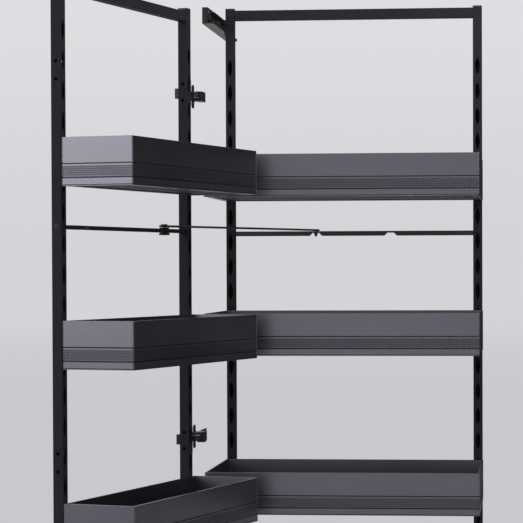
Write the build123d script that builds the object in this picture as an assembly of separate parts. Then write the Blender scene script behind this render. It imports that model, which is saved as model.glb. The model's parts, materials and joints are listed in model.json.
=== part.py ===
from build123d import *
import os
from math import cos, hypot, radians, sin

os.makedirs("parts", exist_ok=True)

# Twin pull-out pantry frame for a tall cabinet. A frame with trays swings out with the cabinet door.
# A link rod draws a second frame with trays forward, on rollers in two side-mounted channels.
# Axes: +X across the cabinet from its left side, +Y into the cabinet, +Z up. Millimetres.
# x = 0 is the inner face of the cabinet's left side. y = 0 and z = 0 lie at the centre of the
# four channel screw holes. The part is drawn as it stands with the door open.

# Driving sizes of the whole part
frame_height = 1307
frame_width = 516
side_gap = 25.5
tier_count = 4
tray_height = 80
inner_tray_depth = 296
door_tray_depth = 128
open_angle = 105.5
screw_setback = 341
overrun = 1
seat_gap = 0.02
rounding_share = 0.01
snug_gap = 0.1
running_gap = 0.05

# Upright tubes of both frames
upright_side = 18
tube_wall = 1.5
cap_height = 4
cap_spigot_depth = 6.5
edge_radius = 1

# Slots that the trays hook into
slot_spacing = 50
slot_width = 9
slot_height = 35
slots_above_first_tray = 4

# Inner frame, which rolls in and out
inner_front_set = 315
inner_tray_drop = 308.5
lowest_tray_lift = 98.5
inner_slot_drop = 12
inner_bar_height = 20
inner_bar_drop = 4

# Door frame, drawn with the door shut and then swung open about the hinge pins
door_top_drop = 43
door_face_gap = 1
door_slot_drop = 24
door_bar_height = 18
door_bar_drop = 7
door_screw_radius = 2.75
door_pad_radius = 7

# Trays: four mitred wall profiles round a floor panel
tray_overhang = 1
wall_thickness = 2.8
ledge_width = 12
ledge_thickness = 1.8
floor_thickness = 3
groove_depth = 0.9
upper_groove_drop = 43.5
upper_groove_width = 1.6
lower_groove_drop = 66.4
lower_groove_width = 1.8
lip_groove_drop = 78.2
lip_groove_width = 0.8
rib_groove_count = 5
rib_groove_spacing = 3.3
rib_groove_width = 1.3
first_rib_groove_drop = 48.8
rib_groove_depth = 0.6

# Hooks on the back of each tray
hook_thickness = 2
hook_width = 14
hook_height = 44
tongue_width = 7
tongue_height = 10
hook_lip_drop = 7
hook_top_drop = 3
hook_slack = 0.2

# Screws and plugs that hold cross bars between uprights
screw_radius = 2.5
screw_head_radius = 4.6
screw_head_depth = 1.3
screw_bite = 12
plug_length = 16

# Link bars and the rod between them
link_drop = 150
inner_link_height = 9.5
inner_link_depth = 12
door_link_height = 7
door_link_depth = 10
inner_notch_set = 181
inner_notch_spacing = 151
inner_notch_mouth = 25.5
inner_notch_floor = 14
inner_notch_depth = 6
door_notch_set = 100
door_notch_mouth = 18
door_notch_floor = 10
door_notch_depth = 4
rod_radius = 2
rod_lift = 0.3
rod_inner_tail = 13
rod_door_tail = 15
rod_pin_radius = 1.7
rod_pin_reach = 1
retainer_radius = 4.5
retainer_thickness = 1.4
collar_width = 12
collar_height = 5.8
collar_thickness = 5
collar_waist = 5
collar_bridge = 0.9
clip_width = 14
clip_depth = 3
clip_reach = 4.5
clip_waist = 5
clip_gap = 0.4

# Channels on the cabinet side, with rubber stops
channel_length = 345
channel_height = 32
channel_sheet = 2
channel_width = 22.8
channel_lip_height = 5
channel_cover_width = 11.5
channel_drop = 14
channel_end_room = 25
system_hole_spacing = 32
channel_screw_radius = 2.6
stop_thickness = 4.5
stop_width = 8.5

# Carriages and rollers
roller_slack = 0.3
roller_width = 8.2
roller_rim = 2.4
roller_web_depth = 1.2
roller_hub_radius = 6
roller_stop_gap = 2.3
roller_spacing = 102
axle_radius = 3
axle_head_radius = 4.6
axle_head_thickness = 0.7
carriage_sheet = 2.2
carriage_plate_rise = 21.2
carriage_front_lead = 16
carriage_arm_inset = 12
carriage_arm_drop = 9
carriage_foot_gap = 0.6
carriage_foot_length = 33
carriage_screw_spacing = 18

# Hinges that carry the door frame
pin_offset_x = -8
pin_offset_y = -10.6
pin_radius = 2.5
knuckle_radius = 4.6
hinge_end_drop = 155.5
middle_hinge_share = 0.6752
plate_thickness = 3
plate_set = 20
plate_length = 38
plate_spine = 18
plate_wing_height = 44
plate_wing_length = 17
plate_screw_set = 37
plate_screw_spacing = 32
plate_screw_radius = 2.5
pedestal_height = 5
arm_height = 18
arm_tray_gap = 2.5
arm_chamfer = 4.5
arm_back_set = 62
arm_neck_set = 24
arm_inner_line = 8
arm_tongue_height = 10
arm_round = 6
arm_screw_head_radius = 4.5
arm_screw_head_depth = 1.6
damper_length = 26
damper_height = 26
damper_depth = 15
damper_slope = 6
leaf_thickness = 3
leaf_height = 48
leaf_inset = 1
leaf_ear_height = 4
leaf_ear_gap = 0.4
leaf_ear_width = 7
leaf_hole_spacing = 30
leaf_hole_radius = 3
leaf_screw_reach = 9
leaf_screw_head_depth = 2

# Places worked out from the sizes above
top = frame_height / 2
bottom = -frame_height / 2
left = side_gap
right = side_gap + frame_width
door_top = top - door_top_drop
tray_room = (frame_height - inner_tray_drop - lowest_tray_lift) / (tier_count - 1)
slots_per_tray = int(tray_room / slot_spacing + rounding_share)
tray_spacing = slots_per_tray * slot_spacing
tray_tops = [top - inner_tray_drop - tray_spacing * tier for tier in range(tier_count)]
link_level = tray_tops[0] - link_drop
tray_width = frame_width + 2 * tray_overhang
tray_middle = (left + right) / 2
arm_reach = left - tray_overhang - arm_tray_gap
arm_front_line = arm_reach - arm_chamfer
slot_count = slots_above_first_tray + (tier_count - 1) * slots_per_tray + 1
inner_slots = [tray_tops[0] - inner_slot_drop + slot_spacing * (slots_above_first_tray - number)
               for number in range(slot_count)]
door_slots = [tray_tops[0] - door_slot_drop + slot_spacing * (slots_above_first_tray - number)
              for number in range(slot_count)]
door_back = door_face_gap
door_front = door_face_gap + upright_side
door_line = door_face_gap + upright_side / 2
inner_back = inner_front_set + upright_side
inner_line = inner_front_set + upright_side / 2
door_screw_slots = (1, slot_count // 2, slot_count - 2)
upper_hinge = door_top - hinge_end_drop
lower_hinge = bottom + hinge_end_drop
hinge_levels = [upper_hinge, upper_hinge - middle_hinge_share * (upper_hinge - lower_hinge), lower_hinge]
channel_start = screw_setback - channel_length / 2
channel_end = screw_setback + channel_length / 2
channel_screw_steps = int((channel_length - 2 * channel_end_room) / system_hole_spacing + rounding_share)
channel_screw_spacing = channel_screw_steps * system_hole_spacing
channel_top = top - channel_drop
channel_base = channel_top - channel_height
roller_radius = channel_height / 2 - channel_sheet - roller_slack
roller_level = channel_base + channel_height / 2
first_roller_set = channel_start + stop_thickness + roller_stop_gap + roller_radius
roller_sets = [first_roller_set, first_roller_set + roller_spacing]
carriage_plate_level = channel_base + carriage_plate_rise
carriage_plate_top = carriage_plate_level + carriage_sheet
rod_level = link_level + inner_link_height + rod_lift + rod_radius


def swing(x, y, angle):
    """Where a point of the shut door frame lies once the door has opened by an angle."""
    along = x - pin_offset_x
    inward = y - pin_offset_y
    turn = radians(angle)
    return (pin_offset_x + along * cos(turn) + inward * sin(turn),
            pin_offset_y - along * sin(turn) + inward * cos(turn))


# The rod's length and the inner frame's travel follow from its two end positions
rod_inner_end = (left + inner_notch_set, inner_line)
rod_door_shut = (left + door_notch_set, door_line)
rod_door_open = swing(rod_door_shut[0], rod_door_shut[1], open_angle)
rod_length = hypot(rod_inner_end[0] - rod_door_open[0], rod_inner_end[1] - rod_door_open[1])
shut_offset = rod_inner_end[0] - rod_door_shut[0]
travel = (rod_length ** 2 - shut_offset ** 2) ** 0.5 + rod_door_shut[1] - rod_inner_end[1]


def box(x, y, z):
    """A box between two x, two y and two z values."""
    centre = Pos((x[0] + x[1]) / 2, (y[0] + y[1]) / 2, (z[0] + z[1]) / 2)
    return centre * Box(abs(x[1] - x[0]), abs(y[1] - y[0]), abs(z[1] - z[0]))


def x_cylinder(radius, x, y, z):
    """A cylinder along X between two x values."""
    return Pos((x[0] + x[1]) / 2, y, z) * Rot(0, 90, 0) * Cylinder(radius, abs(x[1] - x[0]))


def y_cylinder(radius, x, y, z):
    """A cylinder along Y between two y values."""
    return Pos(x, (y[0] + y[1]) / 2, z) * Rot(90, 0, 0) * Cylinder(radius, abs(y[1] - y[0]))


def z_cylinder(radius, x, y, z):
    """A cylinder along Z between two z values."""
    return Pos(x, y, (z[0] + z[1]) / 2) * Cylinder(radius, abs(z[1] - z[0]))


def plan_prism(points, z):
    """A prism with an outline in plan between two heights."""
    outline = make_face(Polyline(*points, close=True))
    return Pos(0, 0, z[0]) * extrude(outline, z[1] - z[0])


def countersunk_screw(face_x, inward, y, z, reach):
    """A screw along X with its flat head flush with a face; inward is +1 or -1."""
    shaft = x_cylinder(screw_radius, (face_x, face_x + inward * reach), y, z)
    head = Cone(screw_head_radius, screw_radius, screw_head_depth)
    seat = Pos(face_x + inward * screw_head_depth / 2, y, z) * Rot(0, inward * 90, 0)
    return shaft + seat * head


def countersunk_hole(face_x, inward, y, z, reach):
    """The hole for a countersunk screw, with a running gap all round."""
    shaft = x_cylinder(screw_radius + running_gap,
                       (face_x - inward * overrun, face_x + inward * reach), y, z)
    head = Cone(screw_head_radius + running_gap, screw_radius + running_gap, screw_head_depth)
    seat = Pos(face_x + inward * screw_head_depth / 2, y, z) * Rot(0, inward * 90, 0)
    return shaft + seat * head


def slot_cutter(x, y, z):
    """A slot pointed at both ends, cut along Y between two y values."""
    half_width = slot_width / 2
    half_height = slot_height / 2
    sides = (ThreePointArc((0, -half_height), (half_width, 0), (0, half_height))
             + ThreePointArc((0, half_height), (-half_width, 0), (0, -half_height)))
    outline = make_face(sides)
    face = Plane(origin=(x, y[1], z), x_dir=(1, 0, 0), z_dir=(0, -1, 0)) * outline
    return extrude(face, y[1] - y[0])


def square_tube(x, y, z):
    """An upright tube with rounded long edges, open at both ends."""
    outside = box(x, y, z)
    outside = fillet(outside.edges().filter_by(Axis.Z), edge_radius)
    hollow = box((x[0] + tube_wall, x[1] - tube_wall), (y[0] + tube_wall, y[1] - tube_wall),
                 (z[0] - overrun, z[1] + overrun))
    return outside - hollow


def cross_tube(x, y, z):
    """A cross bar tube along X with rounded long edges, open at both ends."""
    outside = box(x, y, z)
    outside = fillet(outside.edges().filter_by(Axis.X), edge_radius)
    hollow = box((x[0] - overrun, x[1] + overrun), (y[0] + tube_wall, y[1] - tube_wall),
                 (z[0] + tube_wall, z[1] - tube_wall))
    return outside - hollow


def upright_cap(x, y, z, inward):
    """A cap on a tube end; inward is the sign of the direction into the tube."""
    plate = box(x, y, (z, z - inward * cap_height))
    plate = fillet(plate.edges().filter_by(Axis.Z), edge_radius)
    inset = tube_wall + snug_gap
    spigot = box((x[0] + inset, x[1] - inset), (y[0] + inset, y[1] - inset),
                 (z, z + inward * cap_spigot_depth))
    return plate + spigot


def bar_plug(end_x, inward, y, z):
    """The plug in the end of a cross bar, bored for its screw."""
    inset = tube_wall + snug_gap
    middle_y = (y[0] + y[1]) / 2
    middle_z = (z[0] + z[1]) / 2
    body = box((end_x, end_x + inward * plug_length), (y[0] + inset, y[1] - inset),
               (z[0] + inset, z[1] - inset))
    bore = x_cylinder(screw_radius + seat_gap,
                      (end_x - inward * overrun, end_x + inward * (screw_bite + overrun)),
                      middle_y, middle_z)
    return body - bore


def frame_pieces(back, bar_height, bar_drop, slots, front_face, top_level, link):
    """Uprights, bars, caps, plugs and screws of one frame; its back face is at y = back.

    front_face is the y of the slotted faces, and link gives the link bar's middle height.
    """
    depth = (back, back + upright_side)
    line = back + upright_side / 2
    tube = (bottom + cap_height, top_level - cap_height)
    posts = {"left": (left, left + upright_side), "right": (right - upright_side, right)}
    top_bar = (top_level - bar_drop - bar_height, top_level - bar_drop)
    bottom_bar = (bottom + bar_drop, bottom + bar_drop + bar_height)
    span = (posts["left"][1], posts["right"][0])
    slot_cut = sorted((front_face, line))
    slot_cut[0 if front_face < line else 1] += -overrun if front_face < line else overrun
    levels = [(top_bar[0] + top_bar[1]) / 2, (bottom_bar[0] + bottom_bar[1]) / 2, link]
    made = {"plugs": [], "caps": [], "screws": []}
    for side, inward in (("left", 1), ("right", -1)):
        post = posts[side]
        outer = post[0] if inward > 0 else post[1]
        upright = square_tube(post, depth, tube)
        middle_x = (post[0] + post[1]) / 2
        upright -= [slot_cutter(middle_x, slot_cut, level) for level in slots]
        reach = upright_side + screw_bite
        upright -= [countersunk_hole(outer, inward, line, level, upright_side + overrun)
                    for level in levels]
        made[side] = upright
        made["screws"] += [countersunk_screw(outer, inward, line, level, reach) for level in levels]
        made["caps"] += [upright_cap(post, depth, tube[1], -1), upright_cap(post, depth, tube[0], 1)]
        end = span[0] if inward > 0 else span[1]
        made["plugs"] += [bar_plug(end, inward, depth, bar) for bar in (top_bar, bottom_bar)]
    made["top_bar"] = cross_tube(span, depth, top_bar)
    made["bottom_bar"] = cross_tube(span, depth, bottom_bar)
    return made


def notch_cutter(x, mouth, floor, depth):
    """A trapezoid notch cut up into a link bar from below."""
    points = [(x - mouth / 2 - overrun, link_level - overrun), (x - mouth / 2, link_level),
              (x - floor / 2, link_level + depth), (x + floor / 2, link_level + depth),
              (x + mouth / 2, link_level), (x + mouth / 2 + overrun, link_level - overrun)]
    outline = make_face(Polyline(*points, close=True))
    return outline


def link_bar(y, height, depth, notch_places, mouth, floor, notch_depth):
    """A flat link bar between the uprights with notches from below and screw holes in its ends."""
    span = (left + upright_side, right - upright_side)
    bar = box(span, (y - depth / 2, y + depth / 2), (link_level, link_level + height))
    for place in notch_places:
        outline = notch_cutter(place, mouth, floor, notch_depth)
        face = Plane(origin=(0, y + depth, 0), x_dir=(1, 0, 0), z_dir=(0, -1, 0)) * outline
        bar -= extrude(face, 2 * depth)
    for end, inward in ((span[0], 1), (span[1], -1)):
        bar -= x_cylinder(screw_radius + seat_gap,
                          (end - inward * overrun, end + inward * (screw_bite + overrun)),
                          y, link_level + height / 2)
    return bar


def wall_profile():
    """Section of a tray wall: y runs inward from its outer face, z up from its lower edge."""
    points = [(0, 0), (ledge_width, 0), (ledge_width, ledge_thickness),
              (wall_thickness, ledge_thickness), (wall_thickness, tray_height), (0, tray_height)]
    section = make_face(Polyline(*points, close=True))
    grooves = [(upper_groove_drop, upper_groove_width, groove_depth),
               (lower_groove_drop, lower_groove_width, groove_depth),
               (lip_groove_drop, lip_groove_width, rib_groove_depth)]
    grooves += [(first_rib_groove_drop + number * rib_groove_spacing, rib_groove_width, rib_groove_depth)
                for number in range(rib_groove_count)]
    for drop, width, depth in grooves:
        level = tray_height - drop
        section -= Pos(0, level) * Rectangle(2 * depth, width)
    return section


def tray_wall(length):
    """A tray wall along X, outer face at y = 0 facing -Y, mitred at both ends, top edge at z = 0."""
    half = length / 2
    end = Plane(origin=(-half, 0, -tray_height), x_dir=(0, 1, 0), z_dir=(1, 0, 0))
    bar = extrude(end * wall_profile(), length)
    ledge_line = ledge_width + overrun
    mitres = plan_prism([(-half - overrun, -overrun), (half + overrun, -overrun),
                         (half - ledge_line, ledge_line), (-half + ledge_line, ledge_line)],
                        (-tray_height - overrun, overrun))
    return bar & mitres


def tray_rim(depth):
    """The four walls of a tray; its back face is at y = 0 and it reaches towards -Y."""
    side_x = tray_width / 2
    return [Pos(0, -depth, 0) * tray_wall(tray_width),
            Rot(0, 0, 180) * tray_wall(tray_width),
            Pos(side_x, -depth / 2, 0) * Rot(0, 0, 90) * tray_wall(depth),
            Pos(-side_x, -depth / 2, 0) * Rot(0, 0, -90) * tray_wall(depth)]


def tray_floor(depth):
    """The panel that lies on the ledges of a tray's walls."""
    inset = wall_thickness + snug_gap
    low = -tray_height + ledge_thickness + seat_gap
    return box((-tray_width / 2 + inset, tray_width / 2 - inset), (-depth + inset, -inset),
               (low, low + floor_thickness))


def tongue_seat():
    """How far below a slot's middle the lower corners of a hook's tongue come to rest."""
    half_width = slot_width / 2
    curve = (half_width ** 2 + (slot_height / 2) ** 2) / slot_width
    reach = curve - half_width + tongue_width / 2 + running_gap
    return (curve ** 2 - reach ** 2) ** 0.5


def tray_hooks(slot_drop):
    """The two hooks of a tray, on its back face at y = 0, reaching towards +Y into the slots."""
    hooks = []
    place = (frame_width - upright_side) / 2
    behind = hook_thickness + tube_wall + hook_slack
    low = -slot_drop - tongue_seat()
    for x in (-place, place):
        plate = box((x - hook_width / 2, x + hook_width / 2), (0, hook_thickness),
                    (-hook_top_drop - hook_height, -hook_top_drop))
        tongue = box((x - tongue_width / 2, x + tongue_width / 2), (0, behind + hook_thickness),
                     (low, low + tongue_height))
        lip = box((x - tongue_width / 2, x + tongue_width / 2), (behind, behind + hook_thickness),
                  (low - hook_lip_drop, low + tongue_height))
        hooks.append(plate + tongue + lip)
    return hooks


def channel():
    """The top channel: web on the cabinet side, wide floor with a low lip, narrow cover."""
    y = (channel_start, channel_end)
    web = box((0, channel_sheet), y, (channel_base, channel_top))
    floor = box((0, channel_width), y, (channel_base, channel_base + channel_sheet))
    lip = box((channel_width - channel_sheet, channel_width), y,
              (channel_base, channel_base + channel_lip_height))
    cover = box((0, channel_cover_width), y, (channel_top - channel_sheet, channel_top))
    made = web + floor + lip + cover
    for place in (-channel_screw_spacing / 2, channel_screw_spacing / 2):
        made -= x_cylinder(channel_screw_radius, (-overrun, channel_sheet + overrun),
                           screw_setback + place, roller_level)
    return made


def channel_stops():
    """Rubber stops inside both ends of the top channel."""
    x = (channel_sheet, channel_sheet + stop_width)
    z = (channel_base + channel_sheet, channel_top - channel_sheet)
    return [box(x, (channel_start, channel_start + stop_thickness), z),
            box(x, (channel_end - stop_thickness, channel_end), z)]


def carriage():
    """The bent bracket that reaches over the channel's lip and carries two rollers."""
    front = roller_sets[0] - carriage_front_lead
    arm_x = (carriage_arm_inset, carriage_arm_inset + carriage_sheet)
    foot_x = (left - carriage_sheet, left)
    plate_z = (carriage_plate_level, carriage_plate_top)
    arm = box(arm_x, (front, inner_back), (roller_level - carriage_arm_drop, carriage_plate_top))
    plate = box((arm_x[0], foot_x[0]), (front, inner_back), plate_z)
    bridge = box((arm_x[0], left), (inner_front_set + carriage_foot_gap, inner_back), plate_z)
    foot_low = carriage_plate_top - carriage_foot_length
    foot = box(foot_x, (inner_front_set + carriage_foot_gap, inner_back),
               (foot_low, carriage_plate_top))
    made = arm + plate + bridge + foot
    for place in roller_sets:
        made -= x_cylinder(axle_radius + seat_gap, (arm_x[0] - overrun, arm_x[1] + overrun),
                           place, roller_level)
    for level in carriage_screw_levels():
        made -= countersunk_hole(foot_x[0], 1, inner_line, level, carriage_sheet + overrun)
    return made


def carriage_screw_levels():
    """Heights of the two screws through a carriage foot."""
    middle = carriage_plate_top - carriage_foot_length / 2 - carriage_sheet
    return [middle - carriage_screw_spacing / 2, middle + carriage_screw_spacing / 2]


def carriage_screws():
    """Screws through the carriage foot into the upright's wall."""
    reach = carriage_sheet + tube_wall + leaf_screw_reach
    return [countersunk_screw(left - carriage_sheet, 1, inner_line, level, reach)
            for level in carriage_screw_levels()]


def axles():
    """Headed axles riveted into the carriage arm."""
    arm_far = carriage_arm_inset + carriage_sheet
    start = channel_sheet + roller_slack
    made = []
    for place in roller_sets:
        shaft = x_cylinder(axle_radius, (start, arm_far + axle_head_thickness), place, roller_level)
        head = x_cylinder(axle_head_radius, (start, start + axle_head_thickness), place, roller_level)
        rivet = x_cylinder(axle_head_radius, (arm_far, arm_far + axle_head_thickness),
                           place, roller_level)
        made.append(shaft + head + rivet)
    return made


def roller(place):
    """A plastic roller with a recessed web on both sides."""
    start = carriage_arm_inset - roller_slack - roller_width
    end = start + roller_width
    wheel = x_cylinder(roller_radius, (start, end), place, roller_level)
    rim_inside = roller_radius - roller_rim
    for face, inward in ((start, 1), (end, -1)):
        depth = (face - inward * overrun, face + inward * roller_web_depth)
        wheel -= (x_cylinder(rim_inside, depth, place, roller_level)
                  - x_cylinder(roller_hub_radius, depth, place, roller_level))
    return wheel - x_cylinder(axle_radius + running_gap, (start - overrun, end + overrun),
                              place, roller_level)


def hinge_plate(z):
    """Cross-shaped plate on the cabinet side with a pedestal for the arm."""
    spine = box((0, plate_thickness), (plate_set, plate_set + plate_length),
                (z - plate_spine / 2, z + plate_spine / 2))
    wings = box((0, plate_thickness),
                (plate_screw_set - plate_wing_length / 2, plate_screw_set + plate_wing_length / 2),
                (z - plate_wing_height / 2, z + plate_wing_height / 2))
    wings = fillet(wings.edges().filter_by(Axis.X), arm_round)
    pedestal = box((0, plate_thickness + pedestal_height), (plate_set, plate_set + plate_length),
                   (z - arm_height / 2 + edge_radius, z + arm_height / 2 - edge_radius))
    made = spine + wings + pedestal
    for place in (-plate_screw_spacing / 2, plate_screw_spacing / 2):
        made -= x_cylinder(plate_screw_radius, (-overrun, plate_thickness + overrun),
                           plate_screw_set, z + place)
    return made


def hinge_arm(z):
    """Arm from the plate round the cabinet side's front edge to the pin."""
    low = arm_inner_line
    body = plan_prism([(low, arm_neck_set), (arm_front_line, arm_neck_set),
                       (arm_reach, arm_neck_set + arm_round), (arm_reach, arm_back_set),
                       (low, arm_back_set)], (z - arm_height / 2, z + arm_height / 2))
    outer_y = pin_offset_y - knuckle_radius
    inner_y = pin_offset_y + knuckle_radius
    neck = plan_prism([(pin_offset_x, outer_y), (arm_front_line - arm_round, outer_y),
                       (arm_front_line, outer_y + arm_round), (arm_front_line, arm_neck_set),
                       (low, arm_neck_set), (low, inner_y + arm_round), (low - arm_round, inner_y),
                       (pin_offset_x, inner_y)], (z - arm_tongue_height / 2, z + arm_tongue_height / 2))
    knuckle = z_cylinder(knuckle_radius, pin_offset_x, pin_offset_y,
                         (z - arm_tongue_height / 2, z + arm_tongue_height / 2))
    made = body + neck + knuckle
    made -= z_cylinder(pin_radius + seat_gap, pin_offset_x, pin_offset_y,
                       (z - arm_height / 2, z + arm_height / 2))
    rounded = made.edges().filter_by(Axis.Z).group_by(Axis.X)[-1]
    made = fillet(rounded, edge_radius)
    seat = arm_reach - arm_screw_head_depth
    return made - x_cylinder(arm_screw_head_radius + snug_gap, (seat, arm_reach + overrun),
                             arm_screw_set(), z)


def arm_screw_set():
    """How far behind the cabinet's front the arm's fixing screw lies."""
    return plate_screw_set + arm_round


def arm_screw(z):
    """The cheese-head screw that clamps the arm on its plate, seen as its head in the arm."""
    seat = arm_reach - arm_screw_head_depth
    head = x_cylinder(arm_screw_head_radius, (seat, arm_reach), arm_screw_set(), z)
    slot = box((arm_reach - arm_screw_head_depth / 2, arm_reach + overrun),
               (arm_screw_set() - arm_screw_head_radius, arm_screw_set() + arm_screw_head_radius),
               (z - edge_radius / 2, z + edge_radius / 2))
    return head - slot


def hinge_pin(z):
    """The upright pin through the arm's knuckle and both ears of the leaf."""
    reach = arm_tongue_height / 2 + leaf_ear_gap + leaf_ear_height + edge_radius
    return z_cylinder(pin_radius, pin_offset_x, pin_offset_y, (z - reach, z + reach))


def hinge_damper(z):
    """Soft-close block clipped on the arm, with a sloping top."""
    x = (plate_thickness + snug_gap, plate_thickness + damper_depth)
    y_start = plate_set + plate_length + snug_gap
    points = [(x[0], z - damper_height / 2), (x[1], z - damper_height / 2),
              (x[1], z + damper_height / 2), (x[0], z + damper_height / 2 - damper_slope)]
    outline = make_face(Polyline(*points, close=True))
    face = Plane(origin=(0, y_start + damper_length, 0), x_dir=(1, 0, 0), z_dir=(0, -1, 0)) * outline
    block = extrude(face, damper_length)
    room = box((arm_inner_line - snug_gap, arm_reach + overrun), (plate_set, arm_back_set + snug_gap),
               (z - arm_height / 2 - snug_gap, z + arm_height / 2 + snug_gap))
    return block - room


def hinge_leaf(z):
    """Leaf with two ears on the pin, screwed to the end of the door frame, drawn with the door shut."""
    plate_x = (left - leaf_thickness, left)
    plate = box(plate_x, (door_back, door_front - leaf_inset),
                (z - leaf_height / 2, z + leaf_height / 2))
    neck_reach = arm_tongue_height / 2 + leaf_ear_gap + leaf_ear_height
    neck = box(plate_x, (pin_offset_y - leaf_ear_width / 2, door_line),
               (z - neck_reach, z + neck_reach))
    made = plate + neck
    for side in (-1, 1):
        low = arm_tongue_height / 2 + leaf_ear_gap
        levels = sorted((z + side * low, z + side * (low + leaf_ear_height)))
        ear = box((pin_offset_x, left),
                  (pin_offset_y - leaf_ear_width / 2, pin_offset_y + leaf_ear_width / 2), levels)
        made += ear + z_cylinder(knuckle_radius, pin_offset_x, pin_offset_y, levels)
    made -= z_cylinder(pin_radius + running_gap, pin_offset_x, pin_offset_y,
                       (z - leaf_height / 2, z + leaf_height / 2))
    for place in (-leaf_hole_spacing / 2, leaf_hole_spacing / 2):
        made -= x_cylinder(screw_radius + running_gap, (plate_x[0] - overrun, left + overrun),
                           door_line, z + place)
    return made


def leaf_screws(z):
    """Pan-head screws that hold a leaf on the upright."""
    made = []
    head_x = left - leaf_thickness
    for place in (-leaf_hole_spacing / 2, leaf_hole_spacing / 2):
        shaft = x_cylinder(screw_radius, (head_x, left + leaf_screw_reach), door_line, z + place)
        head = x_cylinder(screw_head_radius, (head_x - leaf_screw_head_depth, head_x),
                          door_line, z + place)
        made.append(shaft + head)
    return made


def bar_clip():
    """The clip on the door frame's link bar: the lower half of an X under the rod."""
    x = rod_door_shut[0]
    bar_top = link_level + door_link_height
    clip_top = rod_level - rod_radius - clip_gap
    low = link_level - clip_reach
    points = [(x - clip_width / 2, low), (x - clip_width / 2 + clip_depth, low),
              (x, link_level), (x + clip_width / 2 - clip_depth, low), (x + clip_width / 2, low),
              (x + clip_waist / 2, link_level + door_link_height / 2), (x + clip_waist, clip_top),
              (x - clip_waist, clip_top), (x - clip_waist / 2, link_level + door_link_height / 2)]
    outline = make_face(Polyline(*points, close=True))
    back = door_line - door_link_depth / 2 - clip_depth
    front = door_line + door_link_depth / 2 + clip_depth
    face = Plane(origin=(0, front, 0), x_dir=(1, 0, 0), z_dir=(0, -1, 0)) * outline
    body = extrude(face, front - back)
    gap = snug_gap
    room = box((x - clip_width, x + clip_width),
               (door_line - door_link_depth / 2 - gap, door_line + door_link_depth / 2 + gap),
               (link_level - gap, bar_top + gap))
    return body - room


def rod_point(distance):
    """A point on the rod's line, counted from its pin in the inner frame towards the door frame."""
    share = distance / rod_length
    return (rod_inner_end[0] + (rod_door_open[0] - rod_inner_end[0]) * share,
            rod_inner_end[1] + (rod_door_open[1] - rod_inner_end[1]) * share)


def rod_plane(distance):
    """A plane at a point of the rod with its normal along the rod and its y axis up."""
    here = rod_point(distance)
    step = (rod_door_open[0] - rod_inner_end[0], rod_door_open[1] - rod_inner_end[1])
    return Plane(origin=(here[0], here[1], rod_level), x_dir=(-step[1], step[0], 0),
                 z_dir=(step[0], step[1], 0))


def link_rod():
    """The straight rod with the pin that drops into the inner frame's link bar."""
    reach = rod_inner_tail + rod_length + rod_door_tail
    shaft = extrude(rod_plane(-rod_inner_tail) * Circle(rod_radius), reach)
    pin_end = link_level - rod_pin_reach
    pin = z_cylinder(rod_pin_radius, rod_inner_end[0], rod_inner_end[1], (pin_end, rod_level))
    return shaft + pin


def rod_retainer():
    """The push-on washer under the link bar that keeps the rod's pin in its hole."""
    high = link_level + inner_notch_depth - rod_lift
    washer = z_cylinder(retainer_radius, rod_inner_end[0], rod_inner_end[1],
                        (high - retainer_thickness, high))
    return washer - z_cylinder(rod_pin_radius + seat_gap, rod_inner_end[0], rod_inner_end[1],
                               (high - 2 * retainer_thickness, high + retainer_thickness))


def rod_collar():
    """The winged collar on the rod: the upper half of an X over the clip."""
    low = -rod_radius
    points = [(-collar_waist / 2, low), (collar_waist / 2, low),
              (collar_width / 2, low + collar_height),
              (collar_width / 2 - clip_depth, low + collar_height),
              (0, rod_radius + collar_bridge),
              (-collar_width / 2 + clip_depth, low + collar_height),
              (-collar_width / 2, low + collar_height)]
    outline = make_face(Polyline(*points, close=True))
    here = rod_plane(rod_length - collar_thickness / 2)
    body = extrude(here * outline, collar_thickness)
    start = rod_plane(rod_length - collar_thickness)
    bore = extrude(start * Circle(rod_radius + seat_gap), 2 * collar_thickness)
    return body - bore


def mirrored(pieces):
    """Copies of pieces turned over about z = 0."""
    return [mirror(piece, Plane.XY) for piece in pieces]


def to_row(piece):
    """Moves a piece from cabinet-front distances to the part's own origin."""
    return Pos(0, -screw_setback, 0) * piece


def opened(piece):
    """Swings a piece of the shut door frame to its open place."""
    pivot = Pos(pin_offset_x, pin_offset_y, 0)
    back = Pos(-pin_offset_x, -pin_offset_y, 0)
    return pivot * Rot(0, 0, -open_angle) * back * piece


def write(node, pieces, place=to_row):
    """Writes one node as a STEP file holding its separate solids."""
    solids = []
    for piece in pieces:
        solids += place(piece).solids()
    export_step(solids[0] if len(solids) == 1 else Compound(children=solids), "parts/" + node + ".step")


def write_cabinet_side():
    """Channels, stops and hinges on the cabinet side."""
    write("top_channel", [channel()])
    write("bottom_channel", mirrored([channel()]))
    write("channel_stops", channel_stops() + mirrored(channel_stops()))
    write("hinge_plates", [hinge_plate(z) for z in hinge_levels])
    write("hinge_arms", [hinge_arm(z) for z in hinge_levels])
    write("hinge_arm_screws", [arm_screw(z) for z in hinge_levels])
    write("hinge_pins", [hinge_pin(z) for z in hinge_levels])
    write("soft_close_damper", [hinge_damper(hinge_levels[1])])


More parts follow.
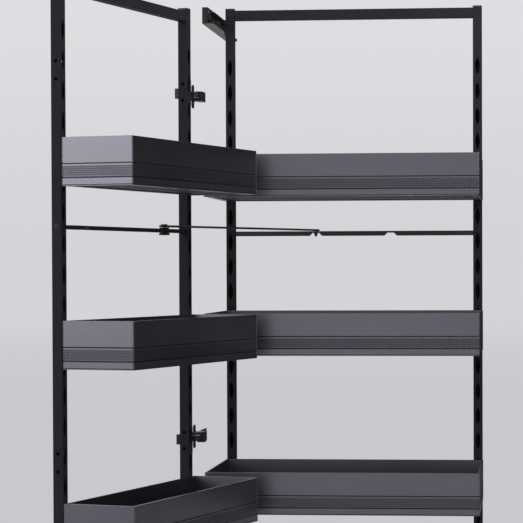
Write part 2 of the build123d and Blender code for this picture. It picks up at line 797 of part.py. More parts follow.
def write_inner_frame():
    """The frame that rolls out, with its trays and running gear."""
    link_middle = link_level + inner_link_height / 2
    made = frame_pieces(inner_front_set, inner_bar_height, inner_bar_drop, inner_slots, inner_front_set,
                        top, link_middle)
    foot_holes = [countersunk_hole(left - carriage_sheet, 1, inner_line, level,
                                   carriage_sheet + 2 * tube_wall)
                  for level in carriage_screw_levels()]
    made["left"] -= foot_holes + mirrored(foot_holes)
    notches = [left + inner_notch_set, left + inner_notch_set + inner_notch_spacing]
    bar = link_bar(inner_line, inner_link_height, inner_link_depth, notches, inner_notch_mouth,
                   inner_notch_floor, inner_notch_depth)
    bar -= [z_cylinder(rod_pin_radius + running_gap, x, inner_line,
                       (link_level, link_level + inner_link_height + overrun)) for x in notches]
    write("inner_left_upright", [made["left"]])
    write("inner_right_upright", [made["right"]])
    write("inner_top_bar", [made["top_bar"]])
    write("inner_bottom_bar", [made["bottom_bar"]])
    write("inner_link_bar", [bar])
    write("inner_upright_caps", made["caps"])
    write("inner_bar_plugs", made["plugs"])
    write("inner_frame_screws", made["screws"])
    write("top_carriage", [carriage()])
    write("bottom_carriage", mirrored([carriage()]))
    write("carriage_screws", carriage_screws() + mirrored(carriage_screws()))
    write("roller_axles", axles() + mirrored(axles()))
    for name, place in zip(("front", "rear"), roller_sets):
        write("top_" + name + "_roller", [roller(place)])
        write("bottom_" + name + "_roller", mirrored([roller(place)]))
    hooks = []
    for number, level in enumerate(tray_tops, 1):
        seat = Pos(tray_middle, inner_front_set - hook_thickness, level)
        write("inner_tray_walls_" + str(number), [seat * wall for wall in tray_rim(inner_tray_depth)])
        write("inner_tray_floor_" + str(number), [seat * tray_floor(inner_tray_depth)])
        hooks += [seat * hook for hook in tray_hooks(inner_slot_drop)]
    write("inner_tray_hooks", hooks)


def write_door_frame():
    """The frame that swings with the door, drawn shut and written open."""
    def place(piece):
        return to_row(opened(piece))

    link_middle = link_level + door_link_height / 2
    made = frame_pieces(door_back, door_bar_height, door_bar_drop, door_slots, door_front, door_top,
                        link_middle)
    screw_levels = [door_slots[number] for number in door_screw_slots]
    for side, x in (("left", left), ("right", right - upright_side)):
        cuts = []
        for z in hinge_levels:
            for offset in (-leaf_hole_spacing / 2, leaf_hole_spacing / 2):
                cuts.append(x_cylinder(leaf_hole_radius, (x - overrun, x + upright_side + overrun),
                                       door_line, z + offset))
        for level in screw_levels:
            cuts.append(y_cylinder(door_screw_radius, x + upright_side / 2,
                                   (door_back - overrun, door_back + tube_wall + overrun), level))
        made[side] -= cuts
    bar = link_bar(door_line, door_link_height, door_link_depth, [right - door_notch_set],
                   door_notch_mouth, door_notch_floor, door_notch_depth)
    pads = []
    for x in (left + upright_side / 2, right - upright_side / 2):
        for level in screw_levels:
            pads.append(y_cylinder(door_pad_radius, x, (0, door_back), level)
                        - y_cylinder(door_screw_radius, x, (-overrun, door_back + overrun), level))
    write("door_hinge_upright", [made["left"]], place)
    write("door_free_upright", [made["right"]], place)
    write("door_top_bar", [made["top_bar"]], place)
    write("door_bottom_bar", [made["bottom_bar"]], place)
    write("door_link_bar", [bar], place)
    write("door_bar_clip", [bar_clip()], place)
    write("door_upright_caps", made["caps"], place)
    write("door_bar_plugs", made["plugs"], place)
    write("door_frame_screws", made["screws"], place)
    write("door_pads", pads, place)
    write("hinge_leaves", [hinge_leaf(z) for z in hinge_levels], place)
    leaf_fixings = []
    for z in hinge_levels:
        leaf_fixings += leaf_screws(z)
    write("hinge_leaf_screws", leaf_fixings, place)
    hooks = []
    for number, level in enumerate(tray_tops, 1):
        seat = Pos(tray_middle, door_front + hook_thickness, level) * Rot(0, 0, 180)
        write("door_tray_walls_" + str(number), [seat * wall for wall in tray_rim(door_tray_depth)],
              place)
        write("door_tray_floor_" + str(number), [seat * tray_floor(door_tray_depth)], place)
        hooks += [seat * hook for hook in tray_hooks(door_slot_drop)]
    write("door_tray_hooks", hooks, place)


def write_link():
    """The rod that ties the two frames together."""
    write("link_rod", [link_rod()])
    write("rod_retainer", [rod_retainer()])
    write("rod_collar", [rod_collar()])


write_cabinet_side()
write_inner_frame()
write_door_frame()
write_link()
print("inner frame travel", round(travel, 2), "rod length", round(rod_length, 2))
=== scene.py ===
import json
from math import cos, pi, radians, sin

import bmesh
import bpy
from mathutils import Matrix, Vector

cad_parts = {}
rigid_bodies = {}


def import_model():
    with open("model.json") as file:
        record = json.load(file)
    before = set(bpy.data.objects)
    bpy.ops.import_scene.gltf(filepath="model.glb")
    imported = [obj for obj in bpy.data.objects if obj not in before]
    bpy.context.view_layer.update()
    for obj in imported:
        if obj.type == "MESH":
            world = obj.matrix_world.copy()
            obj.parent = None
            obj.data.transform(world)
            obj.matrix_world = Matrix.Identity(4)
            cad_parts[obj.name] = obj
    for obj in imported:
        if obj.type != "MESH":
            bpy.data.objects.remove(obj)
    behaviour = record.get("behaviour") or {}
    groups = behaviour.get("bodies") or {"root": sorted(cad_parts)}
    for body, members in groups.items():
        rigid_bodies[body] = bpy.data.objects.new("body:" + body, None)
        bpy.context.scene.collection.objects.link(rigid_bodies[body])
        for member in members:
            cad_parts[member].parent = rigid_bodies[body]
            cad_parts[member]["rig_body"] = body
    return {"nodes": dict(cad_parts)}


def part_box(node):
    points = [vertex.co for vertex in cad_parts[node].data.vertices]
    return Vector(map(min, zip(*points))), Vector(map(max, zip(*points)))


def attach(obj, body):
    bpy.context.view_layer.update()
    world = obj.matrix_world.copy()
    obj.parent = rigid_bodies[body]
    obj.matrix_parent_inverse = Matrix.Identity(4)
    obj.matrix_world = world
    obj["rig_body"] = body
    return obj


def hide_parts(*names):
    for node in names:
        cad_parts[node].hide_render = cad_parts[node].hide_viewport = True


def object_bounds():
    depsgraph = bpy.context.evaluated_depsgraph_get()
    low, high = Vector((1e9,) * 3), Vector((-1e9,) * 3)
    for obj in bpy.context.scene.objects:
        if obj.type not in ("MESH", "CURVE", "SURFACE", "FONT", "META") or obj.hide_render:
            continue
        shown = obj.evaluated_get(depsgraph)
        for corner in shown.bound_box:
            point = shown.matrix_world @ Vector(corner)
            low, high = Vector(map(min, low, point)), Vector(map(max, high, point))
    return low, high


for spare in list(bpy.data.objects):
    bpy.data.objects.remove(spare)
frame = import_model()
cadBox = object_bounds()
nodes = frame["nodes"]
print("frame loaded with", len(nodes), "nodes")


# A value that a socket gives. A sum written with it adds the Math nodes that it needs.
class Signal:
    def __init__(self, surface, socket):
        self.surface = surface
        self.socket = socket

    def joined(self, operation, first, second):
        return self.surface.node("ShaderNodeMath", {"operation": operation}, {0: first, 1: second})

    def __add__(self, other):
        return self.joined("ADD", self, other)

    __radd__ = __add__

    def __sub__(self, other):
        return self.joined("SUBTRACT", self, other)

    def __rsub__(self, other):
        return self.joined("SUBTRACT", other, self)

    def __mul__(self, other):
        return self.joined("MULTIPLY", self, other)

    __rmul__ = __mul__

    def __mod__(self, other):
        return self.joined("MODULO", self, other)


# The node tree of a material or of the world
class Surface:
    def __init__(self, owner):
        owner.use_nodes = True
        self.tree = owner.node_tree
        self.tree.nodes.clear()

    def node(self, kind, settings=None, inputs=None, output=0):
        made = self.tree.nodes.new(kind)
        for name, value in (settings or {}).items():
            setattr(made, name, value)
        for name, value in (inputs or {}).items():
            if isinstance(value, Signal):
                self.tree.links.new(value.socket, made.inputs[name])
            else:
                made.inputs[name].default_value = value
        return Signal(self, made.outputs[output]) if made.outputs else None

    def place(self):
        return self.node("ShaderNodeTexCoord", output="Object")

    def noise(self, scale, stretch=(1, 1, 1), detail=2):
        spread = self.node("ShaderNodeMapping", inputs={"Vector": self.place(), "Scale": stretch})
        return self.node("ShaderNodeTexNoise",
                         inputs={"Vector": spread, "Scale": scale, "Detail": detail})

    # Rises smoothly from 0 to 1 between two values, or falls where the first is the larger
    def rise(self, value, low, high):
        return self.node("ShaderNodeMapRange", {"interpolation_type": "SMOOTHSTEP"},
                         {"Value": value, "From Min": low, "From Max": high})

    def mixed(self, factor, first, second):
        colours = {0: factor, 6: (*first, 1) if isinstance(first, tuple) else first,
                   7: (*second, 1) if isinstance(second, tuple) else second}
        return self.node("ShaderNodeMix", {"data_type": "RGBA"}, colours, 2)

    def bump(self, height, depth):
        return self.node("ShaderNodeBump", inputs={"Height": height, "Distance": depth})

    def close(self, shader, kind="ShaderNodeOutputMaterial"):
        self.node(kind, inputs={"Surface": shader})


def newSurface(name):
    finish = bpy.data.materials.new(name)
    return finish, Surface(finish)


coat = {"cloudScale": 9, "dustScale": 60, "dustSlope": (0.6, 1), "cloudRough": 0.1, "peelRough": 0.06}


# Powder coat and lacquer on steel: orange peel, faint cloudiness, and dust on what faces up
def coatedSteel(name, values):
    finish, surface = newSurface(name)
    peel = surface.noise(values["peelScale"], detail=1)
    cloud = surface.noise(coat["cloudScale"], detail=3)
    upward = surface.node("ShaderNodeSeparateXYZ",
                          inputs={0: surface.node("ShaderNodeNewGeometry", output="Normal")}, output=2)
    speckle = surface.noise(coat["dustScale"], detail=4)
    dusty = surface.rise(upward, *coat["dustSlope"]) * speckle * values["dust"]
    colour = surface.mixed(cloud, values["dark"], values["light"])
    colour = surface.mixed(dusty, colour, values["dustColour"])
    rough = values["roughness"] + coat["cloudRough"] * cloud + coat["peelRough"] * peel
    shader = surface.node("ShaderNodeBsdfPrincipled", inputs={
        "Base Color": colour, "Roughness": rough,
        "Normal": surface.bump(peel, values["peelDepth"]),
        "Metallic": values["metallic"], "Specular IOR Level": values["gloss"]})
    surface.close(shader)
    return finish


moulding = {"flowScale": 25, "flowStretch": (1, 1, 2.5), "flowRough": 0.12}


# Moulded plastic and rubber: spark-eroded grain, and flow marks in the gloss
def mouldedPlastic(name, values):
    finish, surface = newSurface(name)
    grain = surface.node("ShaderNodeTexVoronoi", inputs={"Vector": surface.place(),
                                                         "Scale": values["grainScale"]})
    flow = surface.noise(moulding["flowScale"], stretch=moulding["flowStretch"], detail=3)
    colour = surface.mixed(flow, values["dark"], values["light"])
    shader = surface.node("ShaderNodeBsdfPrincipled", inputs={
        "Base Color": colour, "Roughness": values["roughness"] + moulding["flowRough"] * flow,
        "Normal": surface.bump(grain, values["grainDepth"]), "Specular IOR Level": values["gloss"]})
    surface.close(shader)
    return finish


steel = {"oxideScale": 140, "oxideRough": 0.15, "streakRough": 0.1}


# Turned or drawn steel: fine rings and streaks, cloudy oxide
def turnedSteel(name, values):
    finish, surface = newSurface(name)
    streaks = surface.noise(1, stretch=values["streaks"], detail=3)
    oxide = surface.noise(steel["oxideScale"], detail=4)
    colour = surface.mixed(oxide, values["dark"], values["light"])
    rough = values["roughness"] + steel["oxideRough"] * oxide + steel["streakRough"] * streaks
    shader = surface.node("ShaderNodeBsdfPrincipled", inputs={
        "Base Color": colour, "Roughness": rough,
        "Normal": surface.bump(streaks, values["streakDepth"]), "Metallic": values["metallic"]})
    surface.close(shader)
    return finish


# Anodised aluminium profile: die lines along its length, painted shade in a darker strip where the fine
# ribs are, and painted shade in its grooves
def anodisedProfile(name, values):
    finish, surface = newSurface(name)
    lines = surface.noise(1, stretch=values["lines"], detail=3)
    cloud = surface.noise(values["cloudScale"], detail=2)
    height = surface.node("ShaderNodeSeparateXYZ", inputs={0: surface.place()}, output=2)
    drop = (values["topLevel"] - height) % values["traySpacing"]
    # Painted shade: the strip where the fine ribs are is darkened
    ribShadeBand = (surface.rise(drop, *values["ribStart"])
              * (1 - surface.rise(drop, *values["ribEnd"])))
    colour = surface.mixed(cloud, values["dark"], values["light"])
    colour = surface.mixed(ribShadeBand, colour, values["ribShadeColour"])
    # Painted shade: the floor of each groove is darkened
    for level, half in values["grooves"]:
        edge = half * values["grooveEdge"]
        grooveShadeMask = (surface.rise(drop, level - edge, level - half)
                    * (1 - surface.rise(drop, level + half, level + edge)))
        colour = surface.mixed(grooveShadeMask, colour, values["grooveShadeColour"])
    rough = values["roughness"] + values["lineRough"] * lines + values["cloudRough"] * cloud
    shader = surface.node("ShaderNodeBsdfPrincipled", inputs={
        "Base Color": colour, "Roughness": rough, "Normal": surface.bump(lines, values["lineDepth"]),
        "Metallic": values["metallic"]})
    surface.close(shader)
    return finish


# Melamine faced board: pressed wood pores that run across the tray
def melamineBoard(name, values):
    finish, surface = newSurface(name)
    pores = surface.noise(1, stretch=values["pores"], detail=4)
    bands = surface.noise(1, stretch=values["bands"], detail=2)
    colour = surface.mixed(bands, values["dark"], values["light"])
    colour = surface.mixed(surface.rise(pores, *values["poreShare"]), colour, values["poreColour"])
    shader = surface.node("ShaderNodeBsdfPrincipled", inputs={
        "Base Color": colour, "Roughness": values["roughness"] + values["bandRough"] * bands,
        "Normal": surface.bump(pores, values["poreDepth"]), "Specular IOR Level": values["gloss"]})
    surface.close(shader)
    return finish


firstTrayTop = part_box("inner_tray_walls_1")[1][2]
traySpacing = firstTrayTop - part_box("inner_tray_walls_2")[1][2]

finishes = {
    "frame_coat": coatedSteel("frameCoat", {
        "dark": (0.014, 0.014, 0.0172), "light": (0.019, 0.019, 0.0228), "roughness": 0.46,
        "peelScale": 900, "peelDepth": 0.00003, "dust": 0.1, "dustColour": (0.12, 0.12, 0.12),
        "metallic": 0.0, "gloss": 0.04}),
    "black_coat": coatedSteel("blackCoat", {
        "dark": (0.010, 0.010, 0.0115), "light": (0.015, 0.015, 0.017), "roughness": 0.34,
        "peelScale": 1100, "peelDepth": 0.00002, "dust": 0.08, "dustColour": (0.12, 0.12, 0.12),
        "metallic": 0.0, "gloss": 0.35}),
    "hinge_coat": coatedSteel("hingeCoat", {
        "dark": (0.008, 0.008, 0.01), "light": (0.015, 0.015, 0.018), "roughness": 0.26,
        "peelScale": 1600, "peelDepth": 0.00001, "dust": 0.05, "dustColour": (0.15, 0.15, 0.15),
        "metallic": 0.0, "gloss": 0.14}),
    "hook_steel": coatedSteel("hookSteel", {
        "dark": (0.01, 0.01, 0.012), "light": (0.018, 0.018, 0.02), "roughness": 0.34,
        "peelScale": 1200, "peelDepth": 0.00002, "dust": 0.08, "dustColour": (0.15, 0.15, 0.15),
        "metallic": 0.1, "gloss": 0.2}),
    "black_plastic": mouldedPlastic("blackPlastic", {
        "dark": (0.011, 0.011, 0.013), "light": (0.017, 0.017, 0.02), "roughness": 0.42,
        "grainScale": 2200, "grainDepth": 0.00002, "gloss": 0.25}),
    "roller_plastic": mouldedPlastic("rollerPlastic", {
        "dark": (0.03, 0.03, 0.032), "light": (0.045, 0.045, 0.048), "roughness": 0.32,
        "grainScale": 3500, "grainDepth": 0.000008, "gloss": 0.5}),
    "stop_rubber": mouldedPlastic("stopRubber", {
        "dark": (0.008, 0.008, 0.008), "light": (0.016, 0.016, 0.016), "roughness": 0.7,
        "grainScale": 1500, "grainDepth": 0.00004, "gloss": 0.25}),
    "dark_screw": turnedSteel("darkScrew", {
        "dark": (0.014, 0.014, 0.016), "light": (0.03, 0.03, 0.034), "roughness": 0.42,
        "streaks": (300, 300, 300), "streakDepth": 0.00001, "metallic": 0.6}),
    "pin_steel": turnedSteel("pinSteel", {
        "dark": (0.28, 0.28, 0.29), "light": (0.42, 0.42, 0.43), "roughness": 0.22,
        "streaks": (120, 120, 2500), "streakDepth": 0.000008, "metallic": 1.0}),
    "tray_wall": anodisedProfile("trayWall", {
        "dark": (0.094, 0.093, 0.109), "light": (0.113, 0.112, 0.129), "roughness": 0.24,
        "lines": (5, 5, 2600), "lineDepth": 0.00001, "metallic": 0.96,
        "topLevel": firstTrayTop, "traySpacing": traySpacing,
        # The rib strip's darker colour is painted shade
        "ribStart": (0.0465, 0.048), "ribEnd": (0.0645, 0.066), "ribShadeColour": (0.069, 0.068, 0.081),
        "grooves": ((0.0435, 0.0008), (0.0664, 0.0009), (0.0782, 0.0004)),
        # The grooves' darker colour is painted shade
        "grooveShadeColour": (0.02, 0.02, 0.024), "grooveEdge": 1.4, "cloudScale": 7,
        "lineRough": 0.14, "cloudRough": 0.06}),
    "tray_floor": melamineBoard("trayFloor", {
        "dark": (0.018, 0.018, 0.021), "light": (0.03, 0.03, 0.034), "roughness": 0.5,
        "pores": (20, 900, 900), "bands": (3, 60, 60), "poreColour": (0.01, 0.01, 0.011),
        "poreDepth": 0.00008, "poreShare": (0.62, 0.7), "bandRough": 0.15, "gloss": 0.1}),
}

# How far the edges of each finish are eased, in metres
edgeEase = {
    "frame_coat": 0.0003, "black_coat": 0.0003, "hinge_coat": 0.0004, "hook_steel": 0.0002,
    "black_plastic": 0.0006, "roller_plastic": 0.0003, "stop_rubber": 0.0005, "dark_screw": 0.0002,
    "pin_steel": 0.0003, "tray_wall": 0.0003, "tray_floor": 0.0003,
}
easing = {"joinDistance": 0.000005, "flatAngle": 0.5, "sharpAngle": 35, "segments": 2}


# The CAD's triangles are joined, its flat faces made whole and its sharp edges eased
def easeEdges(node, width):
    weld = node.modifiers.new("weld", "WELD")
    weld.merge_threshold = easing["joinDistance"]
    flat = node.modifiers.new("flat", "DECIMATE")
    flat.decimate_type = "DISSOLVE"
    flat.angle_limit = radians(easing["flatAngle"])
    ease = node.modifiers.new("ease", "BEVEL")
    ease.width = width
    ease.segments = easing["segments"]
    ease.limit_method = "ANGLE"
    ease.angle_limit = radians(easing["sharpAngle"])
    ease.use_clamp_overlap = False
    even = node.modifiers.new("even", "WEIGHTED_NORMAL")
    even.keep_sharp = True


for name, node in nodes.items():
    slotName = node.material_slots[0].material.name.split(".")[0]
    node.material_slots[0].material = finishes[slotName]
    easeEdges(node, edgeEase[slotName])
print("finishes and eased edges are on the CAD nodes")


# Points nearer than this are joined, in metres
pointsAlike = 0.000002


# Makes an object of a finished bmesh
def newObject(name, shape, finish):
    mesh = bpy.data.meshes.new(name)
    shape.to_mesh(mesh)
    shape.free()
    mesh.materials.append(finish)
    made = bpy.data.objects.new(name, mesh)
    bpy.context.scene.collection.objects.link(made)
    return made


# Hands a finished bmesh over as a piece of the part
def addPiece(name, shape, body, slotName, *stoodFor):
    bmesh.ops.remove_doubles(shape, verts=shape.verts, dist=pointsAlike)
    bmesh.ops.recalc_face_normals(shape, faces=shape.faces)
    piece = newObject(name, shape, finishes[slotName])
    for face in piece.data.polygons:
        face.use_smooth = True
    piece.data.set_sharp_from_angle(angle=radians(easing["sharpAngle"]))
    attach(piece, body)
    if stoodFor:
        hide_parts(*stoodFor)


# A placement at a point, with one axis turned along a direction
def facing(place, direction, axis="Z"):
    turn = Vector(direction).to_track_quat(axis, "Y").to_matrix().to_4x4()
    return Matrix.Translation(place) @ turn


# Puts a shape, turned so that its z axis points along a direction, into another
def setInto(whole, shape, place, direction):
    bmesh.ops.transform(shape, matrix=facing(place, direction), verts=shape.verts)
    spareMesh = bpy.data.meshes.new("spare")
    shape.to_mesh(spareMesh)
    shape.free()
    whole.from_mesh(spareMesh)
    bpy.data.meshes.remove(spareMesh)


# Turns a profile of (distance along z, radius) points about z
def turned(profile, steps=32, ring=False):
    shape = bmesh.new()
    points = [shape.verts.new((radius, 0, along)) for along, radius in profile]
    edges = [shape.edges.new(pair) for pair in zip(points, points[1:])]
    if ring:
        edges.append(shape.edges.new((points[-1], points[0])))
    bmesh.ops.spin(shape, geom=points + edges, cent=(0, 0, 0), axis=(0, 0, 1), dvec=(0, 0, 0),
                   angle=2 * pi, steps=steps, use_merge=True)
    bmesh.ops.remove_doubles(shape, verts=shape.verts, dist=pointsAlike)
    return shape


def middle(node):
    low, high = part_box(node)
    return (Vector(low) + Vector(high)) / 2


recess = {"halfWidth": 0.00055, "floorShare": 0.6, "sides": 24}


# A screw along -z from its head at z = 0, with a cross recess
def crossScrew(values):
    shape = bmesh.new()
    half = recess["halfWidth"]
    bmesh.ops.create_grid(shape, x_segments=1, y_segments=1, size=half)
    for edge in list(shape.edges):
        outward = (edge.verts[0].co + edge.verts[1].co).normalized()
        grown = bmesh.ops.extrude_edge_only(shape, edges=[edge])["geom"]
        tips = [item for item in grown if isinstance(item, bmesh.types.BMVert)]
        bmesh.ops.translate(shape, verts=tips, vec=outward * (values["recessReach"] - half))
    cross = list(shape.faces)
    rim = [edge for edge in shape.edges if edge.is_boundary]
    along, radius = values["profile"][0]
    circle = bmesh.ops.create_circle(shape, segments=recess["sides"], radius=radius,
                                     matrix=Matrix.Translation((0, 0, along)))["verts"]
    ring = list({edge for vert in circle for edge in vert.link_edges})
    bmesh.ops.bridge_loops(shape, edges=rim + ring)
    sunk = bmesh.ops.extrude_face_region(shape, geom=cross)["geom"]
    floor = [item for item in sunk if isinstance(item, bmesh.types.BMVert)]
    bmesh.ops.scale(shape, verts=floor, vec=(recess["floorShare"], recess["floorShare"], 1))
    bmesh.ops.translate(shape, verts=floor, vec=(0, 0, -values["recessDepth"]))
    bmesh.ops.delete(shape, geom=[face for face in cross if face.is_valid], context="FACES_ONLY")
    for nextAlong, nextRadius in values["profile"][1:]:
        grown = bmesh.ops.extrude_edge_only(shape, edges=ring)["geom"]
        moved = [item for item in grown if isinstance(item, bmesh.types.BMVert)]
        ring = [item for item in grown if isinstance(item, bmesh.types.BMEdge)]
        share = nextRadius / radius
        bmesh.ops.scale(shape, verts=moved, vec=(share, share, 1))
        bmesh.ops.translate(shape, verts=moved, vec=(0, 0, nextAlong - along))
        along, radius = nextAlong, nextRadius
    bmesh.ops.holes_fill(shape, edges=ring, sides=recess["sides"])
    return shape


sunkScrew = {
    "recessReach": 0.0024, "recessDepth": 0.0012,
    "profile": [(0, 0.0043), (-0.0002, 0.0046), (-0.0013, 0.0025), (-0.0290, 0.0025),
                (-0.0300, 0.0017)]}
footScrew = {
    "recessReach": 0.0024, "recessDepth": 0.0012,
    "profile": [(0, 0.0043), (-0.0002, 0.0046), (-0.0013, 0.0025), (-0.0121, 0.0025),
                (-0.0127, 0.0019)]}
panScrew = {
    "recessReach": 0.0025, "recessDepth": 0.0013,
    "profile": [(0, 0.0031), (-0.0003, 0.0039), (-0.0008, 0.0044), (-0.0014, 0.0046),
                (-0.0020, 0.0046), (-0.0020, 0.0025), (-0.0130, 0.0025)]}
acrossInner = Vector((1, 0, 0))
acrossDoor = (middle("door_free_upright") - middle("door_hinge_upright")).normalized()


screwPlaces = {"tubeHalf": 0.009, "leafDepth": 0.003, "panHead": 0.002, "leafSpread": 0.015,
               "footSpacing": 0.018, "footHead": 0.0046, "plateHalf": 0.022}

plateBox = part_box("hinge_plates")
hingeLevels = (plateBox[1][2] - screwPlaces["plateHalf"], middle("soft_close_damper").z,
               plateBox[0][2] + screwPlaces["plateHalf"])


# The screws that hold a frame's cross bars, through its two uprights
def frameScrews(side, uprights, across, bars):
    whole = bmesh.new()
    for upright, way in zip(uprights, (-across, across)):
        for bar in bars:
            face = middle(side + upright) + way * screwPlaces["tubeHalf"]
            face.z = middle(side + bar).z
            setInto(whole, crossScrew(sunkScrew), face, way)
    addPiece(side + "FrameScrews", whole, side + "_frame", "dark_screw", side + "_frame_screws")


def carriageScrews():
    whole = bmesh.new()
    low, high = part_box("carriage_screws")
    line = (low[1] + high[1]) / 2
    for side in (-1, 1):
        for step in (0, screwPlaces["footSpacing"]):
            level = side * (high[2] - screwPlaces["footHead"] - step)
            setInto(whole, crossScrew(footScrew), Vector((low[0], line, level)), -acrossInner)
    addPiece("carriageScrews", whole, "inner_frame", "dark_screw", "carriage_screws")


def leafScrews():
    whole = bmesh.new()
    headSet = screwPlaces["tubeHalf"] + screwPlaces["leafDepth"] + screwPlaces["panHead"]
    for level in hingeLevels:
        for step in (-screwPlaces["leafSpread"], screwPlaces["leafSpread"]):
            face = middle("door_hinge_upright") - acrossDoor * headSet
            face.z = level + step
            setInto(whole, crossScrew(panScrew), face, -acrossDoor)
    addPiece("leafScrews", whole, "door_frame", "dark_screw", "hinge_leaf_screws")


frameBars = ("_top_bar", "_link_bar", "_bottom_bar")
frameScrews("inner", ("_left_upright", "_right_upright"), acrossInner, frameBars)
frameScrews("door", ("_hinge_upright", "_free_upright"), acrossDoor, frameBars)
carriageScrews()
leafScrews()
print("screws with cross recesses")

roller = {"bore": 0.00305, "hub": 0.006, "rimInside": 0.0113, "webDepth": 0.0012, "ribs": 8,
          "ribWidth": 0.001, "ribEase": 0.0002, "soft": 0.0005, "steps": 64}


def rollers():
    for name in [name for name in nodes if name.endswith("_roller")]:
        low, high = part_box(name)
        width = high[0] - low[0]
        outside = (high[1] - low[1]) / 2
        web = roller["webDepth"]
        soft = roller["soft"]
        section = [(0, roller["bore"]), (0, roller["hub"] - soft), (soft, roller["hub"]),
                   (web, roller["hub"] + soft), (web, roller["rimInside"] - soft),
                   (soft, roller["rimInside"]), (0, roller["rimInside"] + soft)]
        tread = [(0, outside - 2 * soft), (soft / 3, outside - soft), (soft, outside - soft / 3),
                 (2 * soft, outside)]
        half = section + tread
        far = [(width - along, radius) for along, radius in reversed(half)]
        whole = bmesh.new()
        setInto(whole, turned(half + far, roller["steps"], ring=True),
                Vector((low[0], *middle(name).yz)), acrossInner)
        reach = roller["rimInside"] - roller["hub"]
        for number in range(roller["ribs"]):
            turn = Matrix.Rotation(2 * pi * number / roller["ribs"], 4, "X")
            rib = bmesh.new()
            bmesh.ops.create_cube(rib, size=1)
            bmesh.ops.scale(rib, vec=(width - web, roller["ribWidth"], reach), verts=rib.verts)
            bmesh.ops.translate(rib, vec=(0, 0, roller["hub"] + reach / 2), verts=rib.verts)
            bmesh.ops.bevel(rib, geom=list(rib.edges), offset=roller["ribEase"], affect="EDGES",
                            segments=2, profile=0.5, material=-1)
            bmesh.ops.transform(rib, matrix=turn, verts=rib.verts)
            setInto(whole, rib, middle(name), (0, 0, 1))
        first, second, last = name.split("_")
        addPiece(first + second.capitalize() + last.capitalize() + "Wheel", whole,
                 nodes[name]["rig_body"], "roller_plastic", name)


rollers()
print("rollers with ribs and softened rims")

cornerBead = {"radius": 0.0013, "inset": 0.0009, "end": 0.0004, "roundShare": 0.2, "steps": 20}


# The bead that closes the mitre at each corner of a tray
def trayCorners(name, side, across, outward):
    whole = bmesh.new()
    inset = cornerBead["inset"]
    radius = cornerBead["radius"]
    softened = radius * cornerBead["roundShare"]
    for wallsName in sorted(nodeName for nodeName in nodes if nodeName.startswith(side + "_tray_walls")):
        low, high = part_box(wallsName)
        height = high[2] - low[2] - 2 * cornerBead["end"]
        profile = [(0, 0), (0, radius - softened), (softened, radius), (height - softened, radius),
                   (height, radius - softened), (height, 0)]
        points = [vert.co for vert in nodes[wallsName].data.vertices]
        alongs = [point.dot(across) for point in points]
        outs = [point.dot(outward) for point in points]
        for along in (min(alongs) + inset, max(alongs) - inset):
            for out in (min(outs) + inset, max(outs) - inset):
                foot = across * along + outward * out
                foot.z = low[2] + cornerBead["end"]
                setInto(whole, turned(profile, cornerBead["steps"]), foot, (0, 0, 1))
    addPiece(name, whole, side + "_frame", "tray_wall")


trayCorners("innerTrayCorners", "inner", acrossInner, Vector((0, 1, 0)))
trayCorners("doorTrayCorners", "door", acrossDoor, Vector((-acrossDoor.y, acrossDoor.x, 0)))
print("beads in the trays' corners")

rod = {"radius": 0.002, "innerTail": 0.013, "doorTail": 0.015, "neck": (0.0024, 0.0032),
       "pinRadius": 0.0017, "pinEnd": 0.0128, "pinTip": (0.001, 0.0009), "domePoints": 4,
       "steps": 24}


def linkRod():
    inner = middle("rod_retainer")
    door = middle("rod_collar")
    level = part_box("link_rod")[1][2] - rod["radius"]
    inner.z = door.z = level
    reach = (door - inner).length
    radius = rod["radius"]
    dome = [(radius * (1 - cos(pi / 2 * step / rod["domePoints"])),
             radius * sin(pi / 2 * step / rod["domePoints"])) for step in range(rod["domePoints"] + 1)]
    total = rod["innerTail"] + reach + rod["doorTail"]
    profile = dome + [(total - along, size) for along, size in reversed(dome)]
    along = (door - inner).normalized()
    whole = bmesh.new()
    setInto(whole, turned(profile, rod["steps"]), inner - along * rod["innerTail"], along)
    tipLength, tipRadius = rod["pinTip"]
    pin = [(0, 0), (0, radius), (rod["neck"][0], radius), (rod["neck"][1], rod["pinRadius"]),
           (rod["pinEnd"] - tipLength, rod["pinRadius"]), (rod["pinEnd"], tipRadius),
           (rod["pinEnd"], 0)]
    setInto(whole, turned(pin, rod["steps"]), inner, (0, 0, -1))
    addPiece("pullRod", whole, "link", "black_coat", "link_rod")


cap = {"profile": [(0, 0.00172), (0, 0.0041), (0.0003, 0.0045), (0.0014, 0.0045), (0.0017, 0.0042),
                   (0.0020, 0.0033), (0.0058, 0.0025), (0.0064, 0.0021), (0.0066, 0.00185),
                   (0.0066, 0.00172)]}


# The push-on cap under the link bar: a flange, then a cone round the pin's end
def rodCap():
    centre = middle("rod_retainer")
    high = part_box("rod_retainer")[1][2]
    whole = bmesh.new()
    setInto(whole, turned(cap["profile"], ring=True), Vector((centre.x, centre.y, high)), (0, 0, -1))
    addPiece("rodCap", whole, "link", "dark_screw", "rod_retainer")


linkRod()
rodCap()
print("link rod with its pin and cap")


hingePin = {"end": [(0, 0), (0, 0.0019), (0.0003, 0.0023), (0.0007, 0.0025)]}


def hingePins():
    centre = middle("hinge_pins")
    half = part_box("hinge_pins")[1][2] - hingeLevels[0]
    profile = hingePin["end"] + [(2 * half - along, radius)
                                 for along, radius in reversed(hingePin["end"])]
    whole = bmesh.new()
    for level in hingeLevels:
        setInto(whole, turned(profile), Vector((centre.x, centre.y, level - half)), (0, 0, 1))
    addPiece("hingePins", whole, "cabinet_side", "pin_steel", "hinge_pins")


hingePins()
print("hinge pins with rounded ends")

